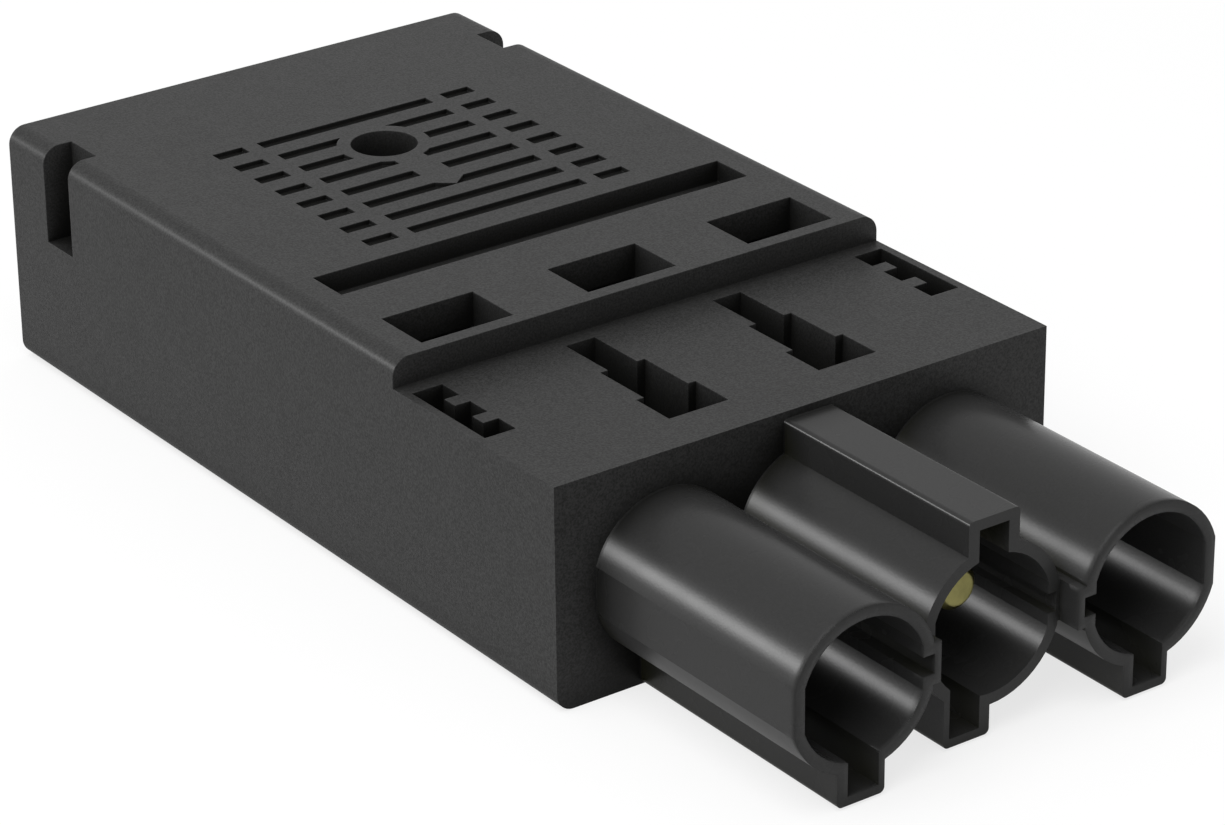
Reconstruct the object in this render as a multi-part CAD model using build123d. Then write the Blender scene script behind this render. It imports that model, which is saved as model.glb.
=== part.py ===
from build123d import *
import os

# Three-pole pluggable power connector, male half, with a built-in cable clamp.
# The model is drawn with X across the poles, Y from the mating side to the cable side and Z up.
# While it is drawn, Y = 0 is the front face that the sleeves stand on and Z = 0 is the underside.

# Outer body
body_width = 36.0
body_length = 61.2
body_height = 16.2
front_length = 16.15        # lower stretch of the top, beside the sleeves
front_drop = 1.85           # how far that stretch lies below the rear top
top_edge_radius = 1.2
bottom_edge_radius = 1.15
side_wall = 2.1
top_wall = 2.2
front_wall = 2.2
back_wall = 2.2

# Sleeves around the contact pins
pole_pitch = 10.36
sleeve_axis_height = 7.03
sleeve_length = 18.2
centre_sleeve_length = 16.6
bore_radius = 4.34
bore_flat = 4.11            # from the axis to the flat sides of the bore
sleeve_wall = 0.72
key_slot_width = 2.17
key_thick_wall = 0.74
key_thin_wall = 0.42
key_floor = 0.55
key_ground_gap = 0.15       # from the underside of the body to the underside of a key
key_edge_radius = 0.35
centre_key_offset = 1.85    # the middle key stands off its axis, towards -X
rib_slot_width = 2.13
rib_wall = 0.77
rib_roof = 0.68
rib_top_drop = 0.45         # from the lower top of the body
rib_edge_radius = 0.3
groove_depth = 0.82         # tongue groove in the side of an outer bore
centre_groove_depth = 0.6
groove_height = 1.25
groove_wall = 0.46
bump_height = 2.6

# Contact pins and the strips behind them
pin_radius = 1.4
pin_height = 8.05
pin_root_radius = 1.7       # the thicker stretch inside the front wall
pin_tip_chamfer = 0.35
earth_pin_reach = 13.7      # in front of the face
line_pin_reach = 10.5
pin_clearance = 0.05
pin_flange_radius = 2.1
pin_flange_thickness = 2.2
rivet_radius = 0.95
rivet_head_radius = 1.5
rivet_head_thickness = 0.5
strip_thickness = 0.8
strip_drop = 3.05           # from the pin's axis to the underside of its strip
strip_neck_width = 3.8
strip_tab_height = 5.9
strip_bend_radius = 0.8
strip_side_gap = 0.15
tunnel_side_clearance = 0.2
tunnel_clearance = 0.1

# Terminal block behind the front part, with two clamping springs for each pole
window_width = 6.54
window_length = 4.26
window_setback = 1.0        # from the step in the top
block_length = 9.15
block_clearance = 0.1
chamber_side_wall = 0.53
chamber_back_wall = 1.2
chamber_front_wall = 0.8
spring_width = 2.8
spring_gap = 0.3
spring_thickness = 0.3
spring_headroom = 2.0       # from the middle of its bow up to the top of the block
spring_foot_length = 2.2
spring_bend_radius = 0.9
spring_reach = 5.3          # from the back of the spring to its clamping edge
spring_top_length = 2.2
spring_edge_gap = 0.12
wire_hole_radius = 1.5
wire_funnel_flare = 0.45

# Slots in the rear top
cross_slot_end_wall = 0.65
cross_slot_setback = 9.6    # from the step in the top
cross_slot_width = 3.15
cross_slot_depth = 1.4
row_pitch = 2.475
row_lead = 4.5              # from the screw hole back to the last row
row_margin = 1.5            # kept clear behind the cross slot
row_slot_width = 1.0
row_slot_depth = 0.3
row_half_length = 6.54
dash_inner = 7.64
dash_outer = 9.86
plain_ring_radius = 3.05
pointer_half_width = 1.08
pointer_shoulder_reach = 7.4
pointer_tip_reach = 8.28

# Coding slots and pockets in the front top
coding_offset = 5.45
coding_steps = [(1.06, 1.15), (1.61, 5.43), (2.14, 9.71)]    # half width, setback from the step in the top
coding_front = 3.27
coding_depth = 6.5
pocket_side_wall = 0.55
pocket_spine = 1.08
pocket_prong = 1.06
pocket_prong_setbacks = [(6.91, 8.62), (4.03, 5.78), (1.15, 2.93)]    # from the step in the top
pocket_depth = 6.0

# Grooves in the sides near the back
side_groove_setback = 4.45  # from the back face
side_groove_width = 3.15
side_groove_depth = 2.15
side_groove_height = 6.5
groove_pad_wall = 1.2

# Cable clamp
clamp_setback = 17.0        # from the back face
clamp_screw_radius = 2.0
screw_hole_clearance = 0.17
clamp_screw_length = 5.5
drive_slot_width = 0.8
drive_slot_depth = 1.2
screw_end_chamfer = 0.35
thread_gap = 0.02
nut_width = 7.0
nut_thickness = 2.2
nut_clearance = 0.1
nut_floor = 0.5
nut_corner_chamfer = 0.4
boss_wall = 1.4
bar_length = 19.0
bar_width = 6.0
bar_thickness = 2.0
bar_bottom = 6.0
bar_arch_radius = 9.0
bar_arch_depth = 0.9
bar_rib_count = 2
jaw_rib_height = 0.5
jaw_rib_width = 0.8
post_width = 2.2
guide_clearance = 0.15
guide_wall = 1.0
guide_height = 3.2
saddle_thickness = 1.9
saddle_rib_count = 3
saddle_arch_radius = 8.0
saddle_arch_depth = 0.7
cable_hole_radius = 4.8
cable_height = 7.4
cable_mouth_chamfer = 0.5

# Base cover and its screws
cover_thickness = 1.6
cover_clearance = 0.12
rail_width = 1.2
rail_height = 1.2
rail_lead = 2.6             # from the terminal block
rail_setback = 11.2         # from the back face
tongue_width = 16.0
tongue_reach = 1.5
tongue_thickness = 0.9
tongue_clearance = 0.05
saddle_stop_half = 4.0
saddle_stop_width = 0.9
saddle_stop_height = 1.0
cover_screw_inset = 5.5     # from the side of the hollow
cover_screw_radius = 1.4
cover_screw_length = 9.0
screw_head_radius = 2.6
screw_head_height = 1.4
screw_head_recess = 0.3
screw_head_clearance = 0.15
screw_boss_radius = 2.9
cover_boss_radius = 3.4
cover_boss_height = 3.4
cover_boss_gap = 0.6        # to the inside of the back wall
cross_drive_width = 0.7
cross_drive_length = 2.8
cross_drive_depth = 0.8
screw_head_chamfer = 0.5
screw_point_chamfer = 0.5

# Worked out from the sizes above
half_width = body_width / 2
cavity_half = half_width - side_wall
cavity_top = body_height - top_wall
front_height = body_height - front_drop
terminal_pitch = cavity_half - block_clearance - chamber_side_wall - window_width / 2
terminal_x = [-terminal_pitch, 0.0, terminal_pitch]
pole_x = [-pole_pitch, 0.0, pole_pitch]
pole_names = ["left", "earth", "right"]
rib_top_height = front_height - rib_top_drop
strip_height = pin_height - strip_drop
strip_top = strip_height + strip_thickness
tab_front = front_wall + pin_flange_thickness
tunnel_half = pin_flange_radius + tunnel_side_clearance
block_front = front_length + block_clearance
block_back = block_front + block_length
chamber_front = block_front + chamber_front_wall
chamber_back = block_back - chamber_back_wall
block_floor = cover_thickness + block_clearance
block_top = cavity_top - block_clearance
spring_top_height = block_top - spring_headroom
window_front = front_length + window_setback
cross_slot_half = cavity_half - cross_slot_end_wall
cross_slot_front = front_length + cross_slot_setback
cross_slot_back = cross_slot_front + cross_slot_width
pocket_outer = half_width - pocket_side_wall
side_groove_back = body_length - side_groove_setback
side_groove_floor = body_height - side_groove_height
screw_y = body_length - clamp_setback
screw_hole_radius = clamp_screw_radius + screw_hole_clearance
last_row = screw_y + row_lead
row_count = int((last_row - cross_slot_back - row_margin) / row_pitch) + 1
back_inside = body_length - back_wall
cover_screw_x = cavity_half - cover_screw_inset
cover_screw_y = back_inside - cover_boss_gap - cover_boss_radius
bar_top = bar_bottom + bar_thickness
boss_bottom = cavity_top - nut_thickness - 2 * nut_clearance - nut_floor
boss_half = nut_width / 2 + nut_clearance + boss_wall


def block(x_low, x_high, y_low, y_high, z_low, z_high):
    """A plain block between two corners."""
    size = (x_high - x_low, y_high - y_low, z_high - z_low)
    middle = ((x_low + x_high) / 2, (y_low + y_high) / 2, (z_low + z_high) / 2)
    return Pos(*middle) * Box(*size)


def rectangle(x_low, x_high, y_low, y_high):
    """A plain rectangle between two corners, in a sketch."""
    return Pos((x_low + x_high) / 2, (y_low + y_high) / 2) * Rectangle(x_high - x_low, y_high - y_low)


def cut_down(sketch, top, depth):
    """The solid that a sketch seen from above cuts, from a height downwards."""
    return extrude(Pos(0, 0, top - depth) * sketch, depth)


def reach_forward(sketch, start, length):
    """A section in X and Z carried forward, towards the mating side, from Y = start."""
    return extrude(Plane.XZ.offset(-start) * sketch, length)


def body_section(height, upper_radius):
    """The body's section in X and Z, standing on Z = 0, with rounded long edges."""
    section = rectangle(-half_width, half_width, 0, height)
    section = fillet(section.vertices().group_by(Axis.Y)[0], bottom_edge_radius)
    if upper_radius:
        section = fillet(section.vertices().group_by(Axis.Y)[-1], upper_radius)
    return section


def outer_body():
    """The solid outline of the body: a high rear part and a lower front part."""
    rear = reach_forward(body_section(body_height, top_edge_radius), body_length, body_length - front_length)
    front = reach_forward(body_section(front_height, 0), front_length, front_length)
    return rear + front


def flat_sided_circle(radius, flat):
    """A circle with its two sides cut flat."""
    return Circle(radius) & Rectangle(2 * flat, 2 * radius)


def sleeve_sections(key_x, thick_side, grooves, groove_reach, has_rib):
    """The outside and the hollow of one sleeve, drawn about its own axis.

    key_x is the middle of the key slot, thick_side the side of the key with the thick wall,
    and grooves lists the sides that have a tongue groove.
    """
    outer_radius = bore_radius + sleeve_wall
    outside = flat_sided_circle(outer_radius, bore_flat + sleeve_wall)
    hollow = flat_sided_circle(bore_radius, bore_flat)
    bottom = key_ground_gap - sleeve_axis_height
    slot_half = key_slot_width / 2
    walls = {thick_side: key_thick_wall, -thick_side: key_thin_wall}
    key = rectangle(key_x - slot_half - walls[-1], key_x + slot_half + walls[1], bottom, 0)
    outside += fillet(key.vertices().group_by(Axis.Y)[0], key_edge_radius)
    hollow += rectangle(key_x - slot_half, key_x + slot_half, bottom + key_floor, 0)
    if has_rib:
        rib_half = rib_slot_width / 2
        top = rib_top_height - sleeve_axis_height
        rib = rectangle(-rib_half - rib_wall, rib_half + rib_wall, 0, top)
        outside += fillet(rib.vertices().group_by(Axis.Y)[-1], rib_edge_radius)
        hollow += rectangle(-rib_half, rib_half, 0, top - rib_roof)
    for side in grooves:
        reach = bore_flat + groove_reach
        outside += Pos(side * (reach + groove_wall) / 2, 0) * Rectangle(reach + groove_wall, bump_height)
        hollow += Pos(side * reach / 2, 0) * Rectangle(reach, groove_height)
    return outside, hollow


def sleeves():
    """The three sleeves and their hollows, as two groups of solids."""
    kinds = [
        (sleeve_sections(0, -1, [1], groove_depth, False), sleeve_length),
        (sleeve_sections(-centre_key_offset, 1, [-1, 1], centre_groove_depth, True), centre_sleeve_length),
        (sleeve_sections(0, -1, [-1], groove_depth, False), sleeve_length),
    ]
    outsides = []
    hollows = []
    for x, ((outside, hollow), length) in zip(pole_x, kinds):
        place = Pos(x, sleeve_axis_height)
        outsides.append(reach_forward(place * outside, 0, length))
        hollows.append(reach_forward(place * hollow, 0, length))
    return outsides, hollows


def grille():
    """The rows of grooves in the rear top, with a plain ring and pointer left around the screw hole."""
    rows = []
    for row in range(row_count):
        y = last_row - row * row_pitch
        low, high = y - row_slot_width / 2, y + row_slot_width / 2
        rows.append(rectangle(-row_half_length, row_half_length, low, high))
        for side in (-1, 1):
            ends = sorted((side * dash_inner, side * dash_outer))
            rows.append(rectangle(ends[0], ends[1], low, high))
    shoulder = screw_y - pointer_shoulder_reach
    pointer = Polygon(
        (-pointer_half_width, screw_y), (-pointer_half_width, shoulder), (0, screw_y - pointer_tip_reach),
        (pointer_half_width, shoulder), (pointer_half_width, screw_y), align=None)
    plain = Pos(0, screw_y) * Circle(plain_ring_radius) + pointer
    pattern = Sketch() + rows
    return cut_down(pattern - plain, body_height, row_slot_depth)


def coding_slot(x):
    """A keyhole slot between two poles: each step towards the front is wider."""
    outline = Sketch()
    for half, setback in coding_steps:
        outline += rectangle(x - half, x + half, coding_front, front_length - setback)
    return cut_down(outline, front_height, coding_depth)


def comb_pocket(side):
    """The pocket beside the front edge: a spine along the side wall and three prongs inwards."""
    setbacks = [setback for prong in pocket_prong_setbacks for setback in prong]
    spine_inner = pocket_outer - pocket_spine
    outline = rectangle(spine_inner, pocket_outer, front_length - max(setbacks), front_length - min(setbacks))
    for near, far in pocket_prong_setbacks:
        outline += rectangle(spine_inner - pocket_prong, spine_inner, front_length - far, front_length - near)
    if side < 0:
        outline = mirror(outline, Plane.YZ)
    return cut_down(outline, front_height, pocket_depth)


def cavity():
    """The hollow behind the front part, open below, with what stands in it left as material."""
    hollow = block(-cavity_half, cavity_half, front_length, back_inside, 0, cavity_top)
    for side in (-1, 1):
        rail = block(cavity_half - rail_width, cavity_half, block_back + rail_lead,
                     body_length - rail_setback, cover_thickness, cover_thickness + rail_height)
        pad_inner = half_width - side_groove_depth - groove_pad_wall
        pad_front = side_groove_back - side_groove_width - groove_pad_wall
        pad = block(pad_inner, cavity_half, pad_front, back_inside,
                    side_groove_floor - groove_pad_wall, cavity_top)
        boss = Pos(cover_screw_x, cover_screw_y, (cover_boss_height + cavity_top) / 2)
        boss = boss * Cylinder(screw_boss_radius, cavity_top - cover_boss_height)
        for kept in (rail, pad, boss):
            hollow -= kept if side > 0 else mirror(kept, Plane.YZ)
    nut_boss = block(-boss_half, boss_half, screw_y - boss_half, screw_y + boss_half, boss_bottom, cavity_top)
    return hollow - nut_boss


def contact_tunnel(x):
    """The way through the front part for one contact: a hole for the pin and a tunnel for the strip."""
    hole = Plane.XZ * Pos(x, pin_height) * Circle(pin_root_radius + pin_clearance)
    bottom = strip_height - tunnel_clearance
    top = strip_height + strip_tab_height + tunnel_clearance
    tunnel = block(x - tunnel_half, x + tunnel_half, front_wall, front_length, bottom, top)
    return extrude(hole, -front_wall) + tunnel


def nut_pocket():
    """The slot that the nut slides into from the cable side, and the screw's way through."""
    half = nut_width / 2 + nut_clearance
    floor = boss_bottom + nut_floor
    roof = floor + nut_thickness + nut_clearance
    slot = block(-half, half, screw_y - half, screw_y + boss_half, floor, roof)
    hole_height = body_height - boss_bottom
    hole = Pos(0, screw_y, boss_bottom + hole_height / 2) * Cylinder(screw_hole_radius, hole_height)
    return slot + hole


def cable_section(radius):
    """The section of the cable's way out, drawn in X and Z."""
    return Pos(0, cable_height) * Circle(radius)


def make_housing():
    """The one-piece moulding: body, sleeves, bosses and rails."""
    outsides, hollows = sleeves()
    housing = outer_body()
    for outside in outsides:
        housing += outside
    for hollow in hollows:
        housing -= hollow
    housing -= cavity()
    for x in pole_x:
        housing -= contact_tunnel(x)
    for x in terminal_x:
        half = window_width / 2
        housing -= block(x - half, x + half, window_front, window_front + window_length,
                         cavity_top, body_height)
    housing -= block(-cross_slot_half, cross_slot_half, cross_slot_front, cross_slot_back,
                     body_height - cross_slot_depth, body_height)
    housing -= grille()
    housing -= nut_pocket()
    for side in (-1, 1):
        housing -= coding_slot(side * coding_offset)
        housing -= comb_pocket(side)
        groove = block(half_width - side_groove_depth, half_width, side_groove_back - side_groove_width,
                       side_groove_back, side_groove_floor, body_height)
        housing -= groove if side > 0 else mirror(groove, Plane.YZ)
        bore = Pos(side * cover_screw_x, cover_screw_y, cover_boss_height + cover_screw_length / 2)
        housing -= bore * Cylinder(cover_screw_radius + thread_gap, cover_screw_length)
    mouth_sides = rectangle(-cable_hole_radius, cable_hole_radius, 0, cable_height)
    housing -= reach_forward(cable_section(cable_hole_radius) + mouth_sides, body_length, back_wall)
    tongue_half = tongue_width / 2 + cover_clearance
    tongue_bottom = cover_thickness - tongue_thickness
    tongue_slot = block(-tongue_half, tongue_half, front_length - tongue_reach - cover_clearance, front_length,
                        tongue_bottom - tongue_clearance, cover_thickness + tongue_clearance)
    return housing - tongue_slot - mouth_chamfer()


def cone_along_y(x, z, y_small, y_large, small, large):
    """A cone frustum whose axis runs along Y, for funnels and chamfered mouths."""
    length = abs(y_large - y_small)
    turn = -90 if y_large > y_small else 90
    return Pos(x, (y_small + y_large) / 2, z) * Rot(turn, 0, 0) * Cone(small, large, length)


def mouth_chamfer():
    """The chamfer around the cable's way out, on the back face."""
    start = body_length - cable_mouth_chamfer
    return cone_along_y(0, cable_height, start, body_length,
                        cable_hole_radius, cable_hole_radius + cable_mouth_chamfer)


def guide_post(side):
    """One of the two posts that the clamp bar's ends rest in."""
    bar_half = bar_length / 2
    inner = bar_half - post_width
    outer = bar_half + guide_clearance + guide_wall
    half = bar_width / 2 + guide_clearance
    top = bar_bottom + guide_height
    post = block(inner, outer, screw_y - half - guide_wall, screw_y + half + guide_wall, cover_thickness, top)
    post -= block(inner, outer - guide_wall, screw_y - half, screw_y + half, bar_bottom, top)
    return post if side > 0 else mirror(post, Plane.YZ)


def make_base_cover():
    """The plate that closes the underside, hooked in at the front and screwed at the back."""
    half = cavity_half - cover_clearance
    root = front_length + cover_clearance
    cover = block(-half, half, root, back_inside - cover_clearance, 0, cover_thickness)
    cover += block(-tongue_width / 2, tongue_width / 2, front_length - tongue_reach, root,
                   cover_thickness - tongue_thickness, cover_thickness)
    mouth_half = cable_hole_radius - cover_clearance
    cover += block(-mouth_half, mouth_half, back_inside - 2 * cover_clearance, body_length, 0, cable_height)
    stop = bar_width / 2 + guide_clearance
    for side in (-1, 1):
        cover += guide_post(side)
        low, high = sorted((screw_y + side * stop, screw_y + side * (stop + saddle_stop_width)))
        cover += block(-saddle_stop_half, saddle_stop_half, low, high,
                       cover_thickness, cover_thickness + saddle_stop_height)
        spot = Pos(side * cover_screw_x, cover_screw_y, 0)
        cover += spot * Pos(0, 0, cover_boss_height / 2) * Cylinder(cover_boss_radius, cover_boss_height)
        recess = screw_head_recess + screw_head_height
        cover -= spot * Pos(0, 0, recess / 2) * Cylinder(screw_head_radius + screw_head_clearance, recess)
        cover -= spot * Pos(0, 0, cover_boss_height / 2) * Cylinder(cover_screw_radius + screw_head_clearance,
                                                                 cover_boss_height)
    cover -= reach_forward(cable_section(cable_hole_radius), body_length, 2 * back_wall)
    return cover - mouth_chamfer()


def make_terminal_block():
    """The insulating block that holds the strips and springs and guides the wires in."""
    half = cavity_half - block_clearance
    body = block(-half, half, block_front, block_back, block_floor, block_top)
    for x, pole in zip(terminal_x, pole_x):
        chamber = window_width / 2
        body -= block(x - chamber, x + chamber, chamber_front, chamber_back, strip_height, block_top)
        neck = strip_neck_width / 2 + tunnel_clearance
        body -= block(pole - neck, pole + neck, block_front, chamber_front,
                      strip_height, strip_top + tunnel_clearance)
        for wire_x in spring_places(x):
            z = strip_top + wire_hole_radius + tunnel_clearance
            body -= cone_along_y(wire_x, z, chamber_back, block_back,
                                 wire_hole_radius, wire_hole_radius + wire_funnel_flare)
    return body


def spring_places(terminal):
    """Where the two springs of one pole stand, across the poles."""
    step = (spring_width + spring_gap) / 2
    return [terminal - step, terminal + step]


def make_pin(x, reach):
    """A turned contact pin with the flange and the rivet that hold it in its strip."""
    tab_back = tab_front + strip_thickness
    profile = Polygon(
        (0, -reach), (pin_radius - pin_tip_chamfer, -reach), (pin_radius, pin_tip_chamfer - reach),
        (pin_radius, 0), (pin_root_radius, 0), (pin_root_radius, front_wall),
        (pin_flange_radius, front_wall), (pin_flange_radius, tab_front),
        (rivet_radius, tab_front), (rivet_radius, tab_back), (rivet_head_radius, tab_back),
        (rivet_head_radius, tab_back + rivet_head_thickness), (0, tab_back + rivet_head_thickness), align=None)
    return Pos(x, 0, pin_height) * revolve(profile, Axis.Y)


def make_strip(pole, terminal):
    """A bent conductor strip: an upright tab on the pin, a neck, and a wide end under the springs."""
    top = strip_height + strip_tab_height
    tab_back = tab_front + strip_thickness
    angle = Polygon(
        (tab_front, strip_height), (chamber_front, strip_height), (chamber_front, strip_top),
        (tab_back, strip_top), (tab_back, top), (tab_front, top), align=None)
    corner = angle.vertices().sort_by_distance((tab_front, strip_height, 0))[0]
    angle = fillet(corner, strip_bend_radius)
    section = Plane.YZ * angle
    strip = Pos(pole, 0, 0) * extrude(section, strip_neck_width / 2, both=True)
    wide = window_width / 2 - strip_side_gap
    strip += block(terminal - wide, terminal + wide, chamber_front, chamber_back, strip_height, strip_top)
    hole = Plane.XZ.offset(-tab_back) * Pos(pole, pin_height) * Circle(rivet_radius)
    return strip - extrude(hole, strip_thickness)


def make_spring(x):
    """A clamping spring of bent strip: a leg on the back wall, a bow, and a slanted clamping leg."""
    back = chamber_back - spring_thickness / 2
    edge_height = strip_top + spring_edge_gap
    line = FilletPolyline(
        (back, spring_top_height - spring_foot_length), (back, spring_top_height),
        (back - spring_top_length, spring_top_height),
        (back - spring_reach, edge_height), radius=spring_bend_radius)
    section = Plane.YZ * trace(line, spring_thickness)
    return Pos(x, 0, 0) * extrude(section, spring_width / 2, both=True)


def jaw(length, width, thickness, arch_radius, arch_depth, rib_count):
    """A clamp jaw lying on Z = 0: a hollowed top with ribs across the cable."""
    section = rectangle(-length / 2, length / 2, 0, thickness)
    arch_centre = thickness - arch_depth + arch_radius
    arch = Pos(0, arch_centre) * Circle(arch_radius)
    floor = Pos(0, arch_centre) * Circle(arch_radius + jaw_rib_height)
    shape = extrude(Plane.XZ * (section - floor), width / 2, both=True)
    pitch = width / rib_count
    for index in range(rib_count):
        middle = (index + 0.5) * pitch - width / 2
        rib = extrude(Plane.XZ.offset(-middle) * (section - arch), jaw_rib_width / 2, both=True)
        shape += rib
    return shape


def make_clamp_bar():
    """The bar that the screw presses down on the cable, with its hollow side below."""
    shape = jaw(bar_length, bar_width, bar_thickness, bar_arch_radius, bar_arch_depth, bar_rib_count)
    return Pos(0, screw_y, bar_top) * Rot(180, 0, 0) * shape


def make_saddle():
    """The loose saddle under the cable, which can be turned over for a thicker one."""
    length = bar_length - 2 * (post_width + guide_clearance)
    shape = jaw(length, bar_width, saddle_thickness, saddle_arch_radius, saddle_arch_depth, saddle_rib_count)
    return Pos(0, screw_y, cover_thickness) * shape


def make_clamp_screw():
    """The headless screw in the round hole of the top, resting on the clamp bar."""
    top = bar_top + clamp_screw_length
    middle = Pos(0, screw_y, bar_top + clamp_screw_length / 2)
    screw = middle * Cylinder(clamp_screw_radius, clamp_screw_length)
    levels = screw.edges().group_by(Axis.Z)
    screw = chamfer(levels[0] + levels[-1], screw_end_chamfer)
    reach = clamp_screw_radius
    return screw - block(-reach, reach, screw_y - drive_slot_width / 2, screw_y + drive_slot_width / 2,
                         top - drive_slot_depth, top)


def make_clamp_nut():
    """The square nut that the clamp screw turns in."""
    half = nut_width / 2
    floor = boss_bottom + nut_floor
    nut = block(-half, half, screw_y - half, screw_y + half, floor, floor + nut_thickness)
    nut = chamfer(nut.edges().filter_by(Axis.Z), nut_corner_chamfer)
    middle = Pos(0, screw_y, floor + nut_thickness / 2)
    return nut - middle * Cylinder(clamp_screw_radius + thread_gap, nut_thickness)


def make_cover_screw(side):
    """A pan-head screw with a cross recess, driven up through the base cover."""
    head_bottom = screw_head_recess
    head = Pos(0, 0, head_bottom + screw_head_height / 2) * Cylinder(screw_head_radius, screw_head_height)
    head = chamfer(head.edges().group_by(Axis.Z)[0], screw_head_chamfer)
    start = head_bottom + screw_head_height
    shank = Pos(0, 0, start + cover_screw_length / 2) * Cylinder(cover_screw_radius, cover_screw_length)
    shank = chamfer(shank.edges().group_by(Axis.Z)[-1], screw_point_chamfer)
    screw = head + shank
    recess = Pos(0, 0, head_bottom + cross_drive_depth / 2)
    for turn in (0, 90):
        arm = Box(cross_drive_length, cross_drive_width, cross_drive_depth)
        screw -= recess * Rot(0, 0, turn) * arm
    return Pos(side * cover_screw_x, cover_screw_y, 0) * screw


def make_parts():
    """Every piece of the connector by its name, in the drawing frame."""
    pieces = {
        "housing": make_housing(),
        "base_cover": make_base_cover(),
        "terminal_block": make_terminal_block(),
        "clamp_bar": make_clamp_bar(),
        "cable_saddle": make_saddle(),
        "clamp_screw": make_clamp_screw(),
        "clamp_nut": make_clamp_nut(),
    }
    reaches = {"left": line_pin_reach, "earth": earth_pin_reach, "right": line_pin_reach}
    for name, pole, terminal in zip(pole_names, pole_x, terminal_x):
        pieces[name + "_pin"] = make_pin(pole, reaches[name])
        pieces[name + "_strip"] = make_strip(pole, terminal)
        for letter, x in zip("ab", spring_places(terminal)):
            pieces[name + "_spring_" + letter] = make_spring(x)
    for side, name in ((-1, "left"), (1, "right")):
        pieces[name + "_cover_screw"] = make_cover_screw(side)
    return pieces


# The part stands on its underside, with the origin below the middle of its box
to_frame = Pos(0, (sleeve_length - body_length) / 2, 0)
os.makedirs("parts", exist_ok=True)
for part_name, piece in make_parts().items():
    export_step(to_frame * piece, "parts/" + part_name + ".step")
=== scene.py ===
"""Dresses a three-pole pluggable power connector and sets up its studio picture.

The pieces come packed in one frame: X across the poles, -Y towards the mating sleeves, +Z up, in metres.
The moulded and metal pieces keep their own shapes and get their finishes here. The three screws get helical
threads, as new pieces in the places of the plain ones.
"""
import logging
import math
from dataclasses import dataclass, field
from enum import Enum

import bmesh
import bpy
from mathutils import Matrix, Vector


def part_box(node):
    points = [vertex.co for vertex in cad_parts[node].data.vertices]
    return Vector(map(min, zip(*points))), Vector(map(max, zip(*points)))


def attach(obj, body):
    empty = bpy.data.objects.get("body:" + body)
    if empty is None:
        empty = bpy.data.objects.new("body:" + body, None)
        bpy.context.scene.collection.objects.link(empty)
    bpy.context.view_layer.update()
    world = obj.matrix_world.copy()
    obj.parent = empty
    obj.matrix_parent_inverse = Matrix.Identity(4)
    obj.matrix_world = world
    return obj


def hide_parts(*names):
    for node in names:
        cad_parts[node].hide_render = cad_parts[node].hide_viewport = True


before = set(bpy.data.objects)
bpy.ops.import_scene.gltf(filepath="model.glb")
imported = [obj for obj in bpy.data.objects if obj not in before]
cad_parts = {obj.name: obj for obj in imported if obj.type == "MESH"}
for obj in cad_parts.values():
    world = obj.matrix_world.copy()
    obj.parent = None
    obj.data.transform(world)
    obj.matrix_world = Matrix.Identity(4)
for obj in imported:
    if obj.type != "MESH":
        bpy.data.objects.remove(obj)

MM = 0.001  # metres in a millimetre
BODY = "root"  # the body that the new pieces ride on
SHARP_ANGLE = 35.0  # degrees past which an edge of a screw stays sharp

Socket = bpy.types.NodeSocket
Colour = tuple[float, float, float]
Span = tuple[float, float]  # a lowest and a highest value, or what they become
Outline = list[tuple[float, float]]  # height and radius pairs, in metres

RISE: Span = (0.0, 1.0)
FALL: Span = (1.0, 0.0)
WHOLE: Span = (0.0, 1.0)
NOISE_CORE: Span = (0.35, 0.65)  # where most of a noise's values lie

log = logging.getLogger("connector")


def way_to(azimuth: float, elevation: float) -> Vector:
    """Gives the direction from the connector to a place round it.

    Args:
        azimuth: The angle from -Y towards +X, in degrees.
        elevation: The angle above the floor, in degrees.

    Returns:
        The direction, with a length of 1.
    """
    turn, rise = math.radians(azimuth), math.radians(elevation)
    return Vector((math.sin(turn) * math.cos(rise), -math.cos(turn) * math.cos(rise), math.sin(rise)))


def as_mesh(shape: bmesh.types.BMesh, name: str) -> bpy.types.Mesh:
    """Turns a finished shape into a mesh, and frees the shape.

    Args:
        shape: The finished shape.
        name: The mesh's name.

    Returns:
        The mesh.
    """
    mesh = bpy.data.meshes.new(name)
    shape.to_mesh(mesh)
    shape.free()
    return mesh


def in_scene(name: str, data: bpy.types.ID) -> bpy.types.Object:
    """Makes an object at the origin and links it to the scene.

    Args:
        name: The object's name.
        data: Its mesh, light or camera.

    Returns:
        The object.
    """
    thing = bpy.data.objects.new(name, data)
    bpy.context.scene.collection.objects.link(thing)
    return thing


def hang(lamp: bpy.types.Light, target: Vector, way: Vector, distance: float) -> bpy.types.Object:
    """Hangs a lamp so that it looks at the target.

    Args:
        lamp: The lamp.
        target: The point that it looks at.
        way: The direction from the target to the lamp.
        distance: How far it hangs from the target, in metres.

    Returns:
        The lamp's object.
    """
    holder = in_scene(lamp.name, lamp)
    holder.location = target + way * distance
    holder.rotation_euler = (-way).to_track_quat("-Z", "Y").to_euler()
    return holder


class Axis(Enum):
    """An axis of the shared frame."""

    X = 0
    Y = 1
    Z = 2


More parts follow.
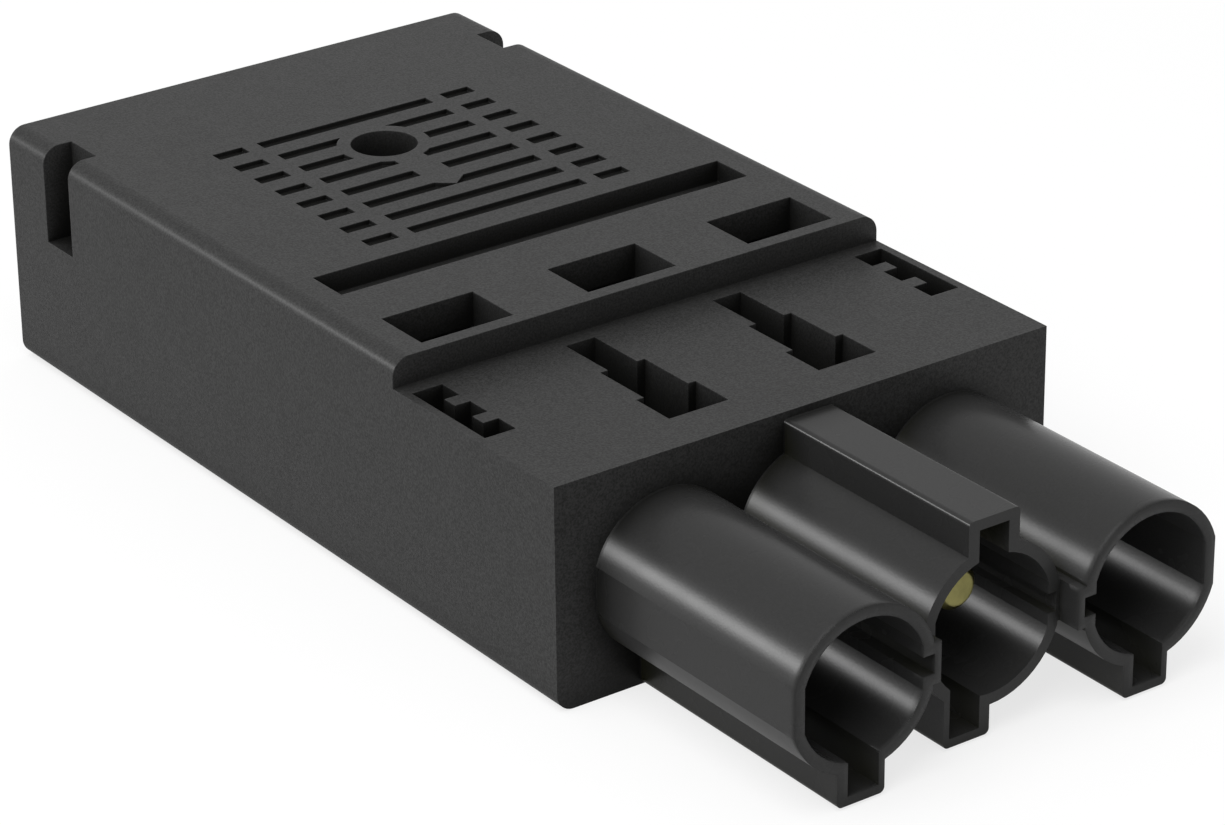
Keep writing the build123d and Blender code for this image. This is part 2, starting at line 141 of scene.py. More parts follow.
class NodeBench:
    """Builds one procedural material on Object coordinates, node by node."""

    NOISE_ROUGHNESS = 0.55
    OPENNESS_SAMPLES = 8
    EDGE_SAMPLES = 6
    LEVEL_FACING: Span = (0.95, 0.98)  # how far up a face looks before it counts as level
    HEIGHT_FADE = 0.01 * MM  # the height over which a level ends

    def __init__(self, name: str) -> None:
        """Starts an empty material.

        Args:
            name: The material's name.
        """
        self.material = bpy.data.materials.new(name)
        self.material.use_nodes = True
        self.tree = self.material.node_tree
        self.tree.nodes.clear()
        self.output = self.tree.nodes.new("ShaderNodeOutputMaterial")
        self.shader = self.tree.nodes.new("ShaderNodeBsdfPrincipled")
        self.place = self.tree.nodes.new("ShaderNodeTexCoord").outputs["Object"]
        self.join(self.shader.outputs["BSDF"], self.output.inputs["Surface"])

    def join(self, source: Socket, target: Socket) -> None:
        """Links one socket to another."""
        self.tree.links.new(source, target)

    def feed(self, name: str, source: Socket) -> None:
        """Links a socket to the shader's input of that name."""
        self.join(source, self.shader.inputs[name])

    def fix(self, name: str, value: float) -> None:
        """Sets the shader's input of that name to one value all over."""
        self.shader.inputs[name].default_value = value

    def scaled(self, scale: Vector) -> Socket:
        """Stretches the Object coordinates.

        Args:
            scale: How often the pattern repeats in a metre, along each axis.

        Returns:
            The stretched coordinates.
        """
        mapping = self.tree.nodes.new("ShaderNodeMapping")
        mapping.inputs["Scale"].default_value = scale
        self.join(self.place, mapping.inputs["Vector"])
        return mapping.outputs["Vector"]

    def noise(self, grain_mm: float, detail: float, stretch: Vector = Vector((1, 1, 1))) -> Socket:
        """Adds a noise whose blotches have a real size.

        Args:
            grain_mm: The size of one blotch in millimetres.
            detail: How many finer layers lie in it.
            stretch: How much finer the noise is along each axis.

        Returns:
            The noise's value, from 0 to 1.
        """
        node = self.tree.nodes.new("ShaderNodeTexNoise")
        node.inputs["Scale"].default_value = 1.0
        node.inputs["Detail"].default_value = detail
        node.inputs["Roughness"].default_value = self.NOISE_ROUGHNESS
        self.join(self.scaled(stretch / (grain_mm * MM)), node.inputs["Vector"])
        return node.outputs["Fac"]

    def spread(self, value: Socket, result: Span, source: Span = WHOLE) -> Socket:
        """Maps a value from one span to another, and holds it there.

        Args:
            value: The value that is mapped.
            result: What the ends of the source become.
            source: The values that give the ends of the result.

        Returns:
            The mapped value.
        """
        node = self.tree.nodes.new("ShaderNodeMapRange")
        node.inputs["From Min"].default_value, node.inputs["From Max"].default_value = source
        node.inputs["To Min"].default_value, node.inputs["To Max"].default_value = result
        self.join(value, node.inputs["Value"])
        return node.outputs["Result"]

    def along(self, axis: Axis) -> Socket:
        """Gives the place along an axis of the frame.

        Args:
            axis: The axis.

        Returns:
            The place along it, in metres.
        """
        node = self.tree.nodes.new("ShaderNodeSeparateXYZ")
        self.join(self.place, node.inputs["Vector"])
        return node.outputs[axis.value]

    def facing_up(self, normal: str) -> Socket:
        """Tells how far a face looks up.

        Args:
            normal: Which normal is read, "Normal" or "True Normal".

        Returns:
            The normal's upward share, from -1 to 1.
        """
        node = self.tree.nodes.new("ShaderNodeSeparateXYZ")
        self.join(self.tree.nodes.new("ShaderNodeNewGeometry").outputs[normal], node.inputs["Vector"])
        return node.outputs["Z"]

    def level_at(self, lowest: float, highest: float) -> Socket:
        """Finds level faces that look up, by their height.

        Args:
            lowest: The lowest height in metres.
            highest: The highest height in metres.

        Returns:
            1 on such faces and 0 elsewhere.
        """
        height = self.along(Axis.Z)
        within = self.multiply(self.spread(height, RISE, (lowest - self.HEIGHT_FADE, lowest)),
                               self.spread(height, FALL, (highest, highest + self.HEIGHT_FADE)))
        return self.multiply(within, self.spread(self.facing_up("True Normal"), RISE, self.LEVEL_FACING))

    def blend(self, factor: Socket, first: Socket | Colour, second: Socket | Colour) -> Socket:
        """Mixes two colours by a value.

        Args:
            factor: How much of the second colour shows, from 0 to 1.
            first: The first colour, plain or already mixed.
            second: The second colour, plain or already mixed.

        Returns:
            The mixed colour.
        """
        node = self.tree.nodes.new("ShaderNodeMix")
        node.data_type = "RGBA"
        self.join(factor, node.inputs["Factor"])
        places = [socket for socket in node.inputs if socket.type == "RGBA"]
        for place, colour in zip(places, (first, second)):
            if isinstance(colour, tuple):
                place.default_value = (*colour, 1.0)
            else:
                self.join(colour, place)
        return next(socket for socket in node.outputs if socket.type == "RGBA")

    def worked_out(self, operation: str, first: Socket, second: Socket) -> Socket:
        """Works out a sum on two values.

        Args:
            operation: The name of the Math node's operation.
            first: The first value.
            second: The second value.

        Returns:
            The result.
        """
        node = self.tree.nodes.new("ShaderNodeMath")
        node.operation = operation
        self.join(first, node.inputs[0])
        self.join(second, node.inputs[1])
        return node.outputs[0]

    def multiply(self, first: Socket, second: Socket) -> Socket:
        """Multiplies two values."""
        return self.worked_out("MULTIPLY", first, second)

    def add(self, first: Socket, second: Socket) -> Socket:
        """Adds two values."""
        return self.worked_out("ADD", first, second)

    def greater(self, first: Socket, second: Socket) -> Socket:
        """Gives the greater of two values."""
        return self.worked_out("MAXIMUM", first, second)

    def openness(self, reach_mm: float) -> Socket:
        """Tells how open a place lies, from 0 deep in an opening to 1 on a free face.

        Args:
            reach_mm: How far other faces shut a place in, in millimetres.

        Returns:
            The openness.
        """
        node = self.tree.nodes.new("ShaderNodeAmbientOcclusion")
        node.samples = self.OPENNESS_SAMPLES
        node.inputs["Distance"].default_value = reach_mm * MM
        return node.outputs["AO"]

    def softened_edges(self, radius: Socket | float) -> Socket:
        """Rounds the shading of sharp edges, as a mould's or a punch's edges are.

        Args:
            radius: The rounding in metres, one for all or varying over the piece.

        Returns:
            The rounded normal.
        """
        node = self.tree.nodes.new("ShaderNodeBevel")
        node.samples = self.EDGE_SAMPLES
        if isinstance(radius, float):
            node.inputs["Radius"].default_value = radius
        else:
            self.join(radius, node.inputs["Radius"])
        return node.outputs["Normal"]

    def raised(self, height: Socket, depth_mm: float, normal: Socket) -> Socket:
        """Adds a bump on top of a normal.

        Args:
            height: The bump's height, from 0 to 1.
            depth_mm: What a height of 1 stands for in millimetres.
            normal: The normal that lies below it.

        Returns:
            The bumped normal.
        """
        node = self.tree.nodes.new("ShaderNodeBump")
        node.inputs["Strength"].default_value = 1.0
        node.inputs["Distance"].default_value = depth_mm * MM
        self.join(height, node.inputs["Height"])
        self.join(normal, node.inputs["Normal"])
        return node.outputs["Normal"]


@dataclass(frozen=True)
class PlasticPlaces:
    """What the finish of a moulding reads at each place of its surface.

    Attributes:
        depth: The place along the Y axis, in metres.
        on_sleeve: 1 on the sleeves and 0 on the body.
        speckle: The fine noise that makes the grain.
        grain: How strong the grain is.
        fleck: How light the colour is, from the dark fleck to the light one.
        around: How open the place lies.
        clear: 1 on free faces, and less in pockets and on the sunk floors of the grille, where it paints
            shade into the colour and the sheen.
    """

    depth: Socket
    on_sleeve: Socket
    speckle: Socket
    grain: Socket
    fleck: Socket
    around: Socket
    clear: Socket


@dataclass(frozen=True)
class MouldedPlastic:
    """A black moulded plastic with a fine eroded grain, which is smoother and glossier on the sleeves.

    Places along the Y axis and heights are in the frame, in millimetres. The open spans are values of
    openness, from shut in to free; where a place is shut in, painted shade darkens its colour and its sheen.
    """

    name: str
    # The colours: painted shade deep in openings, painted shade with an olive tint in the bores, and the dark
    # and light flecks of the faces.
    deep: Colour = (0.005, 0.005, 0.0046)
    painted_bore_shade: Colour = (0.0095, 0.0095, 0.0045)
    dark: Colour = (0.0168, 0.0168, 0.0166)
    light: Colour = (0.0326, 0.0326, 0.0324)
    # The sleeves lie in front of this line, and their finish starts over the next width.
    sleeve_line_mm: float = -21.6
    sleeve_fade_mm: float = 0.1
    # Where painted shade goes: what counts as a pocket, a bore, a shut-in corner and a sunk floor of the
    # grille.
    pocket_mm: float = 10.0
    pocket_open: Span = (0.16, 0.54)
    bore_open: Span = (0.3, 0.45)
    shut_in_mm: float = 3.0
    shut_in_open: Span = (0.3, 0.85)
    grille_floor_mm: Span = (15.82, 15.95)
    grille_floor_shade_share: float = 0.15
    # Painted shade: the colour of a sleeve gets darker over this width towards its root.
    root_shade_mm: float = 2.6
    root_share: float = 0.55
    # The grain.
    speckle_mm: float = 0.13
    speckle_detail: float = 3.0
    cloud_mm: float = 3.0
    cloud_detail: float = 2.0
    grain_depth_mm: float = 0.016
    sleeve_grain: float = 0.25
    even_fleck: float = 0.5
    # The sheen, the thin gloss over it and the roughness. The sheen drops as painted shade in pockets and on
    # the sunk grille floors. The undersides of the sleeves stay rough.
    refraction: float = 1.45
    sheen_level: float = 0.08
    pocket_shade_sheen_level: float = 0.03
    fleck_sheen: Span = (0.85, 1.15)
    gloss_share: float = 0.11
    gloss_rough: float = 0.3
    rough: float = 0.5
    rough_spread: float = 0.05
    sleeve_rough: float = 0.27
    underside_facing: Span = (-0.55, -0.05)
    # The rounding of the edges: small on the body, none on the sleeves but for their rims.
    edge_mm: float = 0.08
    edge_fade_mm: float = 1.0
    rim_line_mm: float = -38.9
    rim_fade_mm: float = 0.05
    rim_edge_mm: float = 0.55
    rim_open: Span = (0.5, 0.6)

    def find_places(self, bench: NodeBench) -> PlasticPlaces:
        """Finds the sleeves, the grain and the openings.

        Args:
            bench: The bench that the material is built on.

        Returns:
            The values that the finish reads.
        """
        line = self.sleeve_line_mm * MM
        depth = bench.along(Axis.Y)
        on_sleeve = bench.spread(depth, FALL, (line - self.sleeve_fade_mm * MM, line))
        speckle = bench.noise(self.speckle_mm, self.speckle_detail)
        grain = bench.spread(on_sleeve, (1.0, self.sleeve_grain))
        fleck = bench.add(bench.multiply(bench.spread(speckle, RISE, NOISE_CORE), grain),
                          bench.spread(grain, (self.even_fleck, 0.0)))
        around = bench.openness(self.pocket_mm)
        pocket = bench.greater(bench.spread(around, RISE, self.pocket_open), on_sleeve)
        floors = bench.level_at(*(height * MM for height in self.grille_floor_mm))
        # Painted shade: pockets and the sunk floors of the grille get darker colour and less sheen.
        clear = bench.multiply(pocket, bench.spread(floors, (1.0, self.grille_floor_shade_share)))
        return PlasticPlaces(depth, on_sleeve, speckle, grain, fleck, around, clear)

    def set_colour(self, bench: NodeBench, places: PlasticPlaces) -> None:
        """Gives the faces their flecks and paints shade into the openings, the bores and the sleeves' roots.

        Args:
            bench: The bench that the material is built on.
            places: Where the sleeves, the grain and the openings are.
        """
        line = self.sleeve_line_mm * MM
        # Painted shade: the colour falls to the shade colours in the bores, shut-in corners, pockets, sunk
        # grille floors and towards the sleeves' roots.
        bore_shade_mask = bench.multiply(places.on_sleeve, bench.spread(places.around, FALL, self.bore_open))
        root_shade_ramp = bench.spread(places.depth, (1.0, self.root_share), (line - self.root_shade_mm * MM, line))
        root = bench.greater(root_shade_ramp, bench.spread(places.on_sleeve, FALL))
        free = bench.spread(bench.openness(self.shut_in_mm), RISE, self.shut_in_open)
        lit = bench.multiply(bench.multiply(free, places.clear), root)
        bench.feed("Base Color", bench.blend(lit, bench.blend(bore_shade_mask, self.deep, self.painted_bore_shade),
                                             bench.blend(places.fleck, self.dark, self.light)))

    def set_gloss(self, bench: NodeBench, places: PlasticPlaces) -> None:
        """Sets the sheen, with painted shade in pockets, the thin gloss over it and the roughness.

        Args:
            bench: The bench that the material is built on.
            places: Where the sleeves, the grain and the openings are.
        """
        # Painted shade: the sheen drops in pockets and on the sunk floors of the grille.
        sheen = bench.spread(places.clear, (self.pocket_shade_sheen_level, self.sheen_level))
        bench.feed("Specular IOR Level", bench.multiply(sheen, bench.spread(places.fleck, self.fleck_sheen)))
        bench.fix("Specular IOR Level", self.sheen_level)
        bench.fix("IOR", self.refraction)
        bench.fix("Coat Weight", self.gloss_share)
        bench.fix("Coat Roughness", self.gloss_rough)
        cloud = bench.noise(self.cloud_mm, self.cloud_detail)
        rough = bench.spread(cloud, (self.rough - self.rough_spread, self.rough + self.rough_spread))
        underside = bench.spread(bench.facing_up("Normal"), RISE, self.underside_facing)
        smooth = bench.multiply(places.on_sleeve, underside)
        smoother = bench.spread(smooth, (1.0, self.sleeve_rough / self.rough))
        bench.feed("Roughness", bench.multiply(rough, smoother))

    def set_relief(self, bench: NodeBench, places: PlasticPlaces) -> None:
        """Rounds the edges and lays the grain over them.

        Args:
            bench: The bench that the material is built on.
            places: Where the sleeves, the grain and the openings are.
        """
        line, rim = self.sleeve_line_mm * MM, self.rim_line_mm * MM
        at_rim = bench.multiply(
            bench.spread(places.depth, (self.rim_edge_mm * MM, 0.0), (rim, rim + self.rim_fade_mm * MM)),
            bench.spread(places.around, RISE, self.rim_open))
        on_body = bench.spread(places.depth, (0.0, self.edge_mm * MM), (line, line + self.edge_fade_mm * MM))
        edges = bench.softened_edges(bench.add(at_rim, on_body))
        bench.feed("Coat Normal", edges)
        grain = bench.multiply(places.speckle, places.grain)
        bench.feed("Normal", bench.raised(grain, self.grain_depth_mm, edges))

    def make(self) -> bpy.types.Material:
        """Builds the material.

        Returns:
            The material, with flecked colour, painted shade in openings and at the sleeves' roots, clouded
            gloss, a satin grain and smoother sleeves.
        """
        bench = NodeBench(self.name)
        places = self.find_places(bench)
        self.set_colour(bench, places)
        self.set_gloss(bench, places)
        self.set_relief(bench, places)
        return bench.material


@dataclass(frozen=True)
class WorkedMetal:
    """A turned, drawn or rolled metal with fine tool marks along or around one axis."""

    name: str
    colour: Colour
    stain: Colour
    rough: float
    grain: Axis
    rough_spread: float = 0.12
    stain_mm: float = 1.3
    stain_detail: float = 3.0
    mark_mm: float = 0.05
    mark_detail: float = 2.0
    mark_stretch: float = 0.06
    mark_depth_mm: float = 0.002
    edge_mm: float = 0.04

    def make(self) -> bpy.types.Material:
        """Builds the material.

        Returns:
            The material, with faint stains and drawn-out tool marks.
        """
        bench = NodeBench(self.name)
        stretch = Vector((1, 1, 1))
        stretch[self.grain.value] = self.mark_stretch
        marks = bench.noise(self.mark_mm, self.mark_detail, stretch)
        stains = bench.noise(self.stain_mm, self.stain_detail)
        bench.feed("Base Color", bench.blend(bench.spread(stains, RISE, NOISE_CORE), self.colour, self.stain))
        rough_span = (self.rough, self.rough + self.rough_spread)
        bench.feed("Roughness", bench.spread(stains, rough_span, NOISE_CORE))
        bench.feed("Normal", bench.raised(marks, self.mark_depth_mm, bench.softened_edges(self.edge_mm * MM)))
        bench.fix("Metallic", 1.0)
        return bench.material


BODY_BLACK = MouldedPlastic("body_black")
BLOCK_BLACK = MouldedPlastic("block_black", dark=(0.028, 0.028, 0.028), light=(0.04, 0.04, 0.04),
                             sleeve_rough=0.5)
PIN_BRASS = WorkedMetal("pin_brass", (0.25, 0.23, 0.088), (0.2, 0.185, 0.074), 0.36, Axis.Y, edge_mm=0.2)
STRIP_BRASS = WorkedMetal("strip_brass", (0.66, 0.58, 0.31), (0.52, 0.45, 0.24), 0.3, Axis.Y)
SPRING_STEEL = WorkedMetal("spring_steel", (0.6, 0.6, 0.59), (0.5, 0.5, 0.5), 0.28, Axis.Z)
ZINC_STEEL = WorkedMetal("zinc_steel", (0.66, 0.68, 0.7), (0.55, 0.57, 0.6), 0.32, Axis.Z)
BLACK_STEEL = WorkedMetal("black_steel", (0.14, 0.14, 0.14), (0.1, 0.1, 0.105), 0.4, Axis.Z)


def dress(node: str, material: bpy.types.Material) -> None:
    """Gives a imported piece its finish.

    Args:
        node: The piece's name.
        material: The finish for all its faces.
    """
    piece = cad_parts[node]
    for place in piece.material_slots:
        place.material = material
    log.info("%s is dressed in %s", node, material.name)


@dataclass
class PlasticPieces:
    """The moulded pieces: the housing and cover outside, the block, bar and saddle inside."""

    outside: tuple[str, ...] = ("housing", "base_cover")
    inside: tuple[str, ...] = ("terminal_block", "clamp_bar", "cable_saddle")

    def dress(self) -> None:
        """Gives each moulded piece its plastic."""
        shell, block = BODY_BLACK.make(), BLOCK_BLACK.make()
        for node in self.outside:
            dress(node, shell)
        for node in self.inside:
            dress(node, block)


@dataclass
class ContactSet:
    """The pins, strips and springs of the three poles."""

    poles: tuple[str, ...] = ("left", "earth", "right")
    springs: str = "ab"

    def dress(self) -> None:
        """Gives each contact piece its metal."""
        pin, strip, spring = PIN_BRASS.make(), STRIP_BRASS.make(), SPRING_STEEL.make()
        for pole in self.poles:
            dress(f"{pole}_pin", pin)
            dress(f"{pole}_strip", strip)
            for letter in self.springs:
                dress(f"{pole}_spring_{letter}", spring)


class Drive(Enum):
    """What a screwdriver turns a screw by."""

    SLOT = 1
    CROSS = 2


@dataclass(frozen=True)
class Thread:
    """A right-handed screw thread, with its sizes in millimetres and its flats as shares of the pitch."""

    pitch: float
    depth: float
    crest_share: float
    root_share: float

    def cut(self, height: float, angle: float) -> float:
        """Gives how deep the thread is cut at a place.

        Args:
            height: The height along the screw's axis, in metres.
            angle: The angle round the axis, in radians.

        Returns:
            The depth below the crest, in metres.
        """
        turn = (height / (self.pitch * MM) - angle / math.tau) % 1.0
        slope = (1.0 - abs(2.0 * turn - 1.0) - self.crest_share) / (1.0 - self.crest_share - self.root_share)
        return self.depth * MM * min(max(slope, 0.0), 1.0)


@dataclass
class ThreadedScrew:
    """A screw with a helical thread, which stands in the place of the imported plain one.

    Its sizes are in millimetres. A screw without a head has a head_height of 0.
    """

    node: str
    drive: Drive
    thread: Thread
    drive_width: float
    drive_length: float
    drive_depth: float
    end_chamfer: float
    shank_radius: float
    head_height: float = 0.0
    head_chamfer: float = 0.0
    segments: int = 48
    rings_in_pitch: int = 12

    def outline(self, low: Vector, high: Vector) -> Outline:
        """Gives the screw's outline from its lower to its upper end.

        Args:
            low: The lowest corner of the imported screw.
            high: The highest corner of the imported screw.

        Returns:
            Height and radius pairs, in metres.
        """
        bottom, top = low.z, high.z
        shank, end = self.shank_radius * MM, self.end_chamfer * MM
        finish = [(top - end, shank), (top, shank - end)]
        if self.head_height == 0.0:
            return [(bottom, shank - end), (bottom + end, shank)] + finish
        head, edge, under = (high.x - low.x) / 2, self.head_chamfer * MM, bottom + self.head_height * MM
        return [(bottom, head - edge), (bottom + edge, head), (under, head), (under, shank)] + finish

    def rings(self, outline: Outline) -> Outline:
        """Divides the outline finely enough for the thread.

        Args:
            outline: Height and radius pairs, in metres.

        Returns:
            The pairs with the steps between them.
        """
        step = self.thread.pitch * MM / self.rings_in_pitch
        rings = []
        for (start, first), (stop, last) in zip(outline, outline[1:]):
            count = max(1, math.ceil((stop - start) / step))
            rings += [(start + (stop - start) * i / count, first + (last - first) * i / count)
                      for i in range(count)]
        return rings + [outline[-1]]

    def set_ring(self, ring: list[bmesh.types.BMVert], height: float, limit: float, threaded: bool) -> None:
        """Moves one ring of points to its height and its distance from the axis.

        Args:
            ring: The ring's points, round the Z axis.
            height: The height that they go to, in metres.
            limit: The outline's radius there, in metres.
            threaded: Whether the thread is cut there.
        """
        for point in ring:
            angle = math.atan2(point.co.y, point.co.x)
            crest = self.shank_radius * MM - self.thread.cut(height, angle)
            radius = min(limit, crest) if threaded else limit
            point.co = (radius * math.cos(angle), radius * math.sin(angle), height)

    @staticmethod
    def rank(face: bmesh.types.BMFace, count: int) -> int:
        """Gives the number that a face is sorted by, so that the order is the same in each run.

        Args:
            face: The face, with its points numbered.
            count: How many points the screw has.

        Returns:
            A number that no other face has.
        """
        first, second, *_, last = sorted(point.index for point in face.verts)
        return (first * count + second) * count + last

    def turned(self, low: Vector, high: Vector) -> bpy.types.Mesh:
        """Builds the screw's closed skin, before the recess is cut.

        Args:
            low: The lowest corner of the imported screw.
            high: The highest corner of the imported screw.

        Returns:
            The mesh, with its thread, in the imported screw's place.
        """
        first, *others = self.rings(self.outline(low, high))
        start = low.z + self.head_height * MM
        shape = bmesh.new()
        bmesh.ops.create_circle(shape, cap_ends=True, segments=self.segments, radius=1.0)
        edges = shape.edges[:]
        self.set_ring(shape.verts[:], *first, first[0] > start)
        for height, limit in others:
            drawn = bmesh.ops.extrude_edge_only(shape, edges=edges)["geom"]
            ring = {part for part in drawn if isinstance(part, bmesh.types.BMVert)}
            edges = [part for part in drawn
                     if isinstance(part, bmesh.types.BMEdge) and ring.issuperset(part.verts)]
            self.set_ring(list(ring), height, limit, height > start)
        bmesh.ops.contextual_create(shape, geom=edges)
        shape.verts.index_update()
        shape.faces.sort(key=lambda face: self.rank(face, len(shape.verts)))
        middle = (low + high) / 2
        bmesh.ops.translate(shape, verts=shape.verts, vec=(middle.x, middle.y, 0.0))
        bmesh.ops.recalc_face_normals(shape, faces=shape.faces)
        return as_mesh(shape, f"{self.node}_threaded")

    def cutters(self, low: Vector, high: Vector) -> list[bpy.types.Object]:
        """Builds the blocks that cut the recess: one at the top for a slot, two at the bottom for a cross.

        Args:
            low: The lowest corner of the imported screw.
            high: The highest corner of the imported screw.

        Returns:
            The blocks, as objects in the scene.
        """
        middle = (low + high) / 2
        end = high.z if self.drive is Drive.SLOT else low.z
        turns = (0.0,) if self.drive is Drive.SLOT else (0.0, math.pi / 2)
        size = Vector((self.drive_length, self.drive_width, 2 * self.drive_depth)) * MM
        blocks = []
        for turn in turns:
            shape = bmesh.new()
            bmesh.ops.create_cube(shape, size=1.0)
            bmesh.ops.scale(shape, verts=shape.verts, vec=size)
            bmesh.ops.rotate(shape, verts=shape.verts, cent=(0, 0, 0), matrix=Matrix.Rotation(turn, 3, "Z"))
            bmesh.ops.translate(shape, verts=shape.verts, vec=(middle.x, middle.y, end))
            blocks.append(in_scene("recess_block", as_mesh(shape, "recess_block")))
        return blocks

    def build(self, material: bpy.types.Material, slot: str) -> None:
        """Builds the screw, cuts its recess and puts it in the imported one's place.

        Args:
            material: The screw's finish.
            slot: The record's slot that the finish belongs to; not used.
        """
        low, high = (Vector(corner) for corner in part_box(self.node))
        screw = in_scene(f"{self.node}_threaded", self.turned(low, high))
        blocks = self.cutters(low, high)
        for block in blocks:
            cut = screw.modifiers.new("recess", "BOOLEAN")
            cut.operation, cut.solver, cut.object = "DIFFERENCE", "EXACT", block
        depsgraph = bpy.context.evaluated_depsgraph_get()
        finished = bpy.data.meshes.new_from_object(screw.evaluated_get(depsgraph))
        screw.modifiers.clear()
        screw.data = finished
        for block in blocks:
            bpy.data.objects.remove(block)
        finished.shade_smooth()
        finished.set_sharp_from_angle(angle=math.radians(SHARP_ANGLE))
        finished.materials.clear()
        finished.materials.append(material)
        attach(screw, BODY)
        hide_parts(self.node)
        log.info("%s stands for %s", screw.name, self.node)


def cover_screw(side: str) -> ThreadedScrew:
    """Gives one of the two screws that hold the base cover: a coarse thread for plastic, under a pan head.

    Args:
        side: The side that it stands on.

    Returns:
        The screw, to be built.
    """
    thread = Thread(pitch=1.12, depth=0.38, crest_share=0.12, root_share=0.35)
    return ThreadedScrew(f"{side}_cover_screw", Drive.CROSS, thread, drive_width=0.7, drive_length=2.8,
                         drive_depth=0.8, end_chamfer=0.5, shank_radius=1.4, head_height=1.4,
                         head_chamfer=0.5)


def headless_screw(node: str) -> ThreadedScrew:
    """Gives the screw that presses the clamp down: a fine thread and a slot, without a head.

    Args:
        node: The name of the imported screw.

    Returns:
        The screw, to be built.
    """
    thread = Thread(pitch=0.7, depth=0.4, crest_share=0.15, root_share=0.2)
    return ThreadedScrew(node, Drive.SLOT, thread, drive_width=0.8, drive_length=4.4, drive_depth=1.2,
                         end_chamfer=0.35, shank_radius=2.0)


@dataclass
class Fasteners:
    """The blackened clamp screw, its plated nut and the two plated cover screws."""

    clamp_screw: str = "clamp_screw"
    sides: tuple[str, ...] = ("left", "right")
    nut: str = "clamp_nut"

    def build(self) -> None:
        """Dresses the nut and builds the screws."""
        zinc, black = ZINC_STEEL.make(), BLACK_STEEL.make()
        dress(self.nut, zinc)
        headless_screw(self.clamp_screw).build(black, BLACK_STEEL.name)
        for side in self.sides:
            cover_screw(side).build(zinc, ZINC_STEEL.name)


@dataclass(frozen=True)
class SoftBox:
    """A rectangular studio lamp that looks at the connector.

    Angles are in degrees, lengths in metres and the power in watts.
    """

    name: str
    azimuth: float
    elevation: float
    distance: float
    width: float
    height: float
    power: float

    def place(self, target: Vector) -> None:
        """Sets the lamp up round the target.

        Args:
            target: The point that the lamp looks at.
        """
        lamp = bpy.data.lights.new(self.name, "AREA")
        lamp.shape = "RECTANGLE"
        lamp.size, lamp.size_y = self.width, self.height
        lamp.energy = self.power
        hang(lamp, target, way_to(self.azimuth, self.elevation), self.distance)


@dataclass(frozen=True)
class GlintLamp:
    """A far lamp that only shows as a glint, also inside the sleeves. Its width is in degrees."""

    name: str
    direction: tuple[float, float, float]
    width: float
    power: float
    stand_off: float = 0.5

    def place(self, target: Vector) -> None:
        """Sets the lamp up so that its light comes from its direction.

        Args:
            target: The point beside which the lamp is drawn.
        """
        lamp = bpy.data.lights.new(self.name, "SUN")
        lamp.energy = self.power
        lamp.angle = math.radians(self.width)
        lamp.use_shadow = False
        holder = hang(lamp, target, Vector(self.direction).normalized(), self.stand_off)
        holder.visible_diffuse = False


def seen_straight(tree: bpy.types.NodeTree) -> Socket:
    """Tells the rays that see a thing, also in a gloss or through glass, from those that only light.

    Args:
        tree: The tree that the nodes are added to.

    Returns:
        1 for camera, glossy and transmission rays, and 0 for all others.
    """
    rays = tree.nodes.new("ShaderNodeLightPath").outputs
    seen = rays["Is Camera Ray"]
    for name in ("Is Glossy Ray", "Is Transmission Ray"):
        either = tree.nodes.new("ShaderNodeMath")
        either.operation = "MAXIMUM"
        tree.links.new(seen, either.inputs[0])
        tree.links.new(rays[name], either.inputs[1])
        seen = either.outputs[0]
    return seen


def mixed(tree: bpy.types.NodeTree, factor: Socket, first: bpy.types.Node,
          second: bpy.types.Node) -> bpy.types.Node:
    """Mixes two shaders by a value.

    Args:
        tree: The tree that the shaders stand in.
        factor: How much of the second shader shows, from 0 to 1.
        first: The first shader.
        second: The second shader.

    Returns:
        The mixed shader.
    """
    mix = tree.nodes.new("ShaderNodeMixShader")
    tree.links.new(factor, mix.inputs["Fac"])
    tree.links.new(first.outputs[0], mix.inputs[1])
    tree.links.new(second.outputs[0], mix.inputs[2])
    return mix


@dataclass(frozen=True)
class FloorWhite:
    """The floor's matt white, which is lifted where it is seen and clear from below."""

    name: str = "floor_white"
    colour: Colour = (0.86, 0.86, 0.86)
    lift: float = 0.75

    def make(self) -> bpy.types.Material:
        """Builds the material.

        Returns:
            The material, which keeps the connector's shadow.
        """
        material = bpy.data.materials.new(self.name)
        material.use_nodes = True
        tree = material.node_tree
        tree.nodes.clear()
        matt = tree.nodes.new("ShaderNodeBsdfDiffuse")
        matt.inputs["Color"].default_value = (*self.colour, 1.0)
        share = tree.nodes.new("ShaderNodeMath")
        share.operation = "MULTIPLY"
        share.inputs[1].default_value = self.lift
        tree.links.new(seen_straight(tree), share.inputs[0])
        above = mixed(tree, share.outputs[0], matt, tree.nodes.new("ShaderNodeEmission"))
        from_below = tree.nodes.new("ShaderNodeNewGeometry").outputs["Backfacing"]
        finish = mixed(tree, from_below, above, tree.nodes.new("ShaderNodeBsdfTransparent"))
        output = tree.nodes.new("ShaderNodeOutputMaterial")
        tree.links.new(finish.outputs[0], output.inputs["Surface"])
        return material


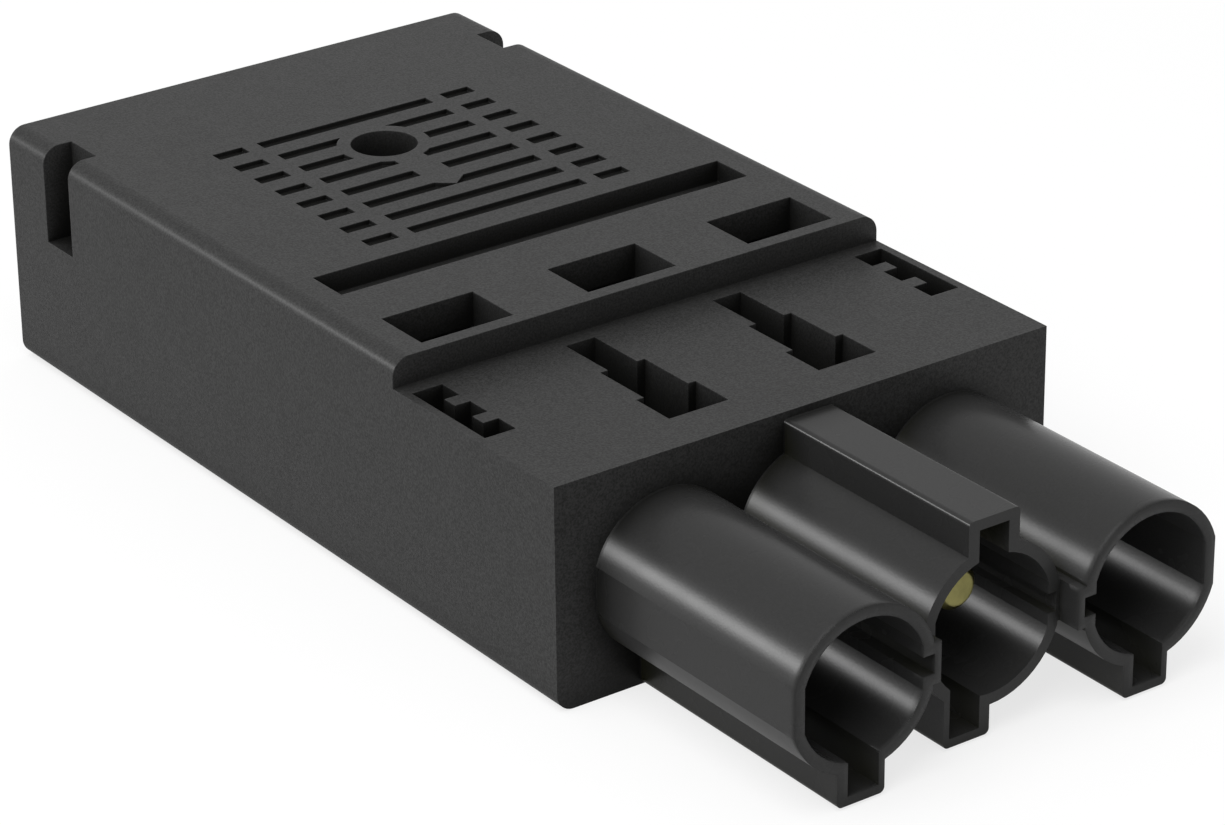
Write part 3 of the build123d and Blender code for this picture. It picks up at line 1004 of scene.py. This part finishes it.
@dataclass
class Studio:
    """The pale floor, the lamps, the white surroundings and the camera.

    Lengths are in metres, the sensor and the lens in millimetres and angles in degrees.
    """

    floor_half: float = 3.0
    floor_drop: float = 0.03 * MM
    floor_finish: FloorWhite = FloorWhite()
    ambient: float = 0.63
    white: Colour = (1.0, 1.0, 1.0)
    target: Vector = field(default_factory=lambda: Vector((0.45, -1.5, 6.1)) * MM)
    azimuth: float = -35.70
    elevation: float = 25.42
    roll: float = -0.62
    distance: float = 290.2 * MM
    sensor: float = 36.0
    lens: float = 138.75
    clip: Span = (0.01, 20.0)
    lamps: tuple[SoftBox | GlintLamp, ...] = (
        SoftBox("key_lamp", azimuth=-75.0, elevation=60.0, distance=0.6, width=0.5, height=0.5, power=3.25),
        GlintLamp("glint_lamp", direction=(-0.66, 0.70, 0.28), width=12.0, power=1.5),
    )

    def lay_floor(self) -> None:
        """Lays the floor, which keeps the connector's shadow, reads as white and is clear from below."""
        shape = bmesh.new()
        bmesh.ops.create_grid(shape, x_segments=1, y_segments=1, size=self.floor_half)
        bmesh.ops.translate(shape, verts=shape.verts, vec=(0.0, 0.0, -self.floor_drop))
        floor = in_scene("floor", as_mesh(shape, "floor"))
        floor.data.materials.append(self.floor_finish.make())

    def hang_surroundings(self) -> None:
        """Makes the surroundings white where they are seen and dimmer where they only light."""
        world = bpy.data.worlds.new("studio")
        bpy.context.scene.world = world
        world.use_nodes = True
        tree = world.node_tree
        tree.nodes.clear()
        light = tree.nodes.new("ShaderNodeBackground")
        seen = tree.nodes.new("ShaderNodeBackground")
        for shade in (light, seen):
            shade.inputs["Color"].default_value = (*self.white, 1.0)
        light.inputs["Strength"].default_value = self.ambient
        mix = mixed(tree, seen_straight(tree), light, seen)
        output = tree.nodes.new("ShaderNodeOutputWorld")
        tree.links.new(mix.outputs[0], output.inputs["Surface"])

    def set_camera(self) -> None:
        """Places the camera where the photograph was taken from."""
        data = bpy.data.cameras.new("camera")
        data.sensor_width = self.sensor
        data.lens = self.lens
        data.clip_start, data.clip_end = self.clip
        way = way_to(self.azimuth, self.elevation)
        holder = in_scene("camera", data)
        holder.location = self.target + way * self.distance
        aim = (-way).to_track_quat("-Z", "Y").to_matrix()
        holder.rotation_euler = (aim @ Matrix.Rotation(math.radians(self.roll), 3, "Z")).to_euler()
        bpy.context.scene.camera = holder

    def build(self) -> None:
        """Sets up the whole studio."""
        self.lay_floor()
        self.hang_surroundings()
        for lamp in self.lamps:
            lamp.place(self.target)
        self.set_camera()
        bpy.context.scene.view_settings.view_transform = "Standard"


def main() -> None:
    """Dresses every piece and sets up the studio."""
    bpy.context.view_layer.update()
    PlasticPieces().dress()
    ContactSet().dress()
    Fasteners().build()
    Studio().build()


if __name__ == "__main__":
    logging.basicConfig(level=logging.INFO)
    main()
